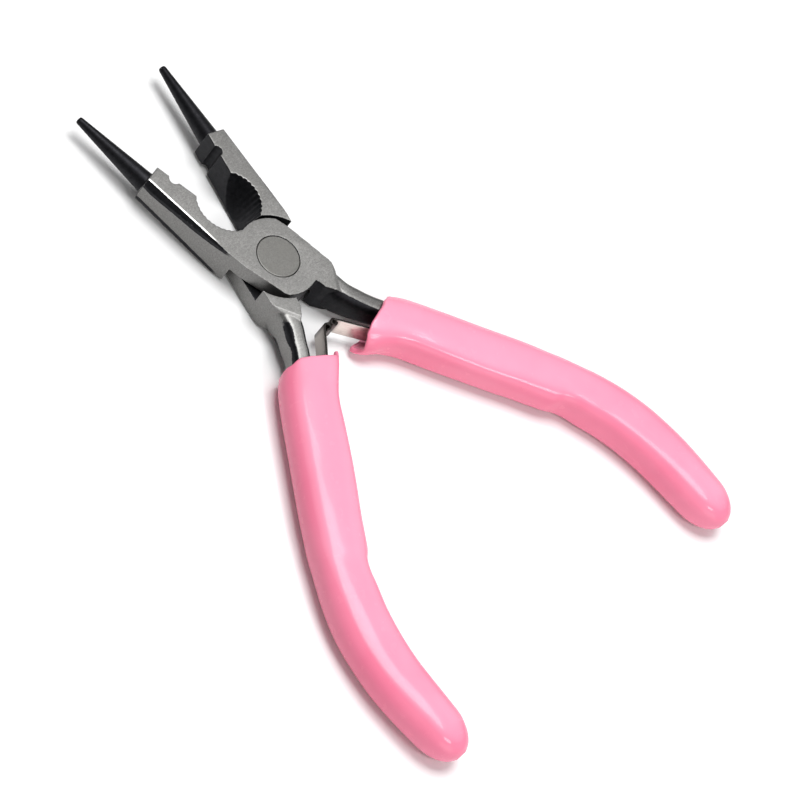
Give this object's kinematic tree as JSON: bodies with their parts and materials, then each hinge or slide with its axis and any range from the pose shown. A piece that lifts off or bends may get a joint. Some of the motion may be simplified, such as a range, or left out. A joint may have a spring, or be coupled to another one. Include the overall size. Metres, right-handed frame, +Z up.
{
  "type": "round nose pliers",
  "caption": "Small sprung lap-joint pliers with round tapered tips, flat pads, a crimp notch, a toothed scoop in each jaw and soft bowed handle sleeves.",
  "frame": {"origin": "the pivot axis at the flat underside of the joint, which is also the plane the pliers lie on", "axes": "+Y towards the tips, +Z up along the pivot axis, +X towards the handle of the upper half"},
  "size_m": [0.0842, 0.1221, 0.0076],
  "materials": {
    "satin_steel": "ground satin faces, black oxide on the nose cones, jaw insides and arm insides",
    "spring_steel": "bright rolled strip",
    "pink_sleeve": "glossy soft plastic"
  },
  "bodies": {
    "lower_body": {"lower_half": "satin_steel", "pivot_rivet": "satin_steel", "left_grip_sleeve": "pink_sleeve", "left_spring_rivet": "satin_steel"},
    "upper_body": {"upper_half": "satin_steel", "right_grip_sleeve": "pink_sleeve", "right_spring_rivet": "satin_steel"},
    "right_leaf": {"right_leaf_spring": "spring_steel"},
    "left_leaf": {"left_leaf_spring": "spring_steel"}
  },
  "joints": [
    {"name": "pivot", "type": "hinge", "parent": "lower_body", "child": "upper_body", "pos_m": [0, 0, 0.0034], "axis": [0, 0, 1], "range_deg": [-27.8, 2], "stiffness_Nm_per_rad": 0.5},
    {"name": "right_leaf_flex", "type": "hinge", "parent": "upper_body", "child": "right_leaf", "pos_m": [0.01487, -0.02713, 0.0034], "axis": [0, 0, 1], "range_deg": [-12.3, 1]},
    {"name": "left_leaf_flex", "type": "hinge", "parent": "lower_body", "child": "left_leaf", "pos_m": [-0.01487, -0.02713, 0.0034], "axis": [0, 0, 1], "range_deg": [-1, 12.3]}
  ],
  "couplings": [
    {"joint": "right_leaf_flex", "follows": "pivot", "ratio": 0.4148},
    {"joint": "left_leaf_flex", "follows": "pivot", "ratio": -0.4148}
  ]
}
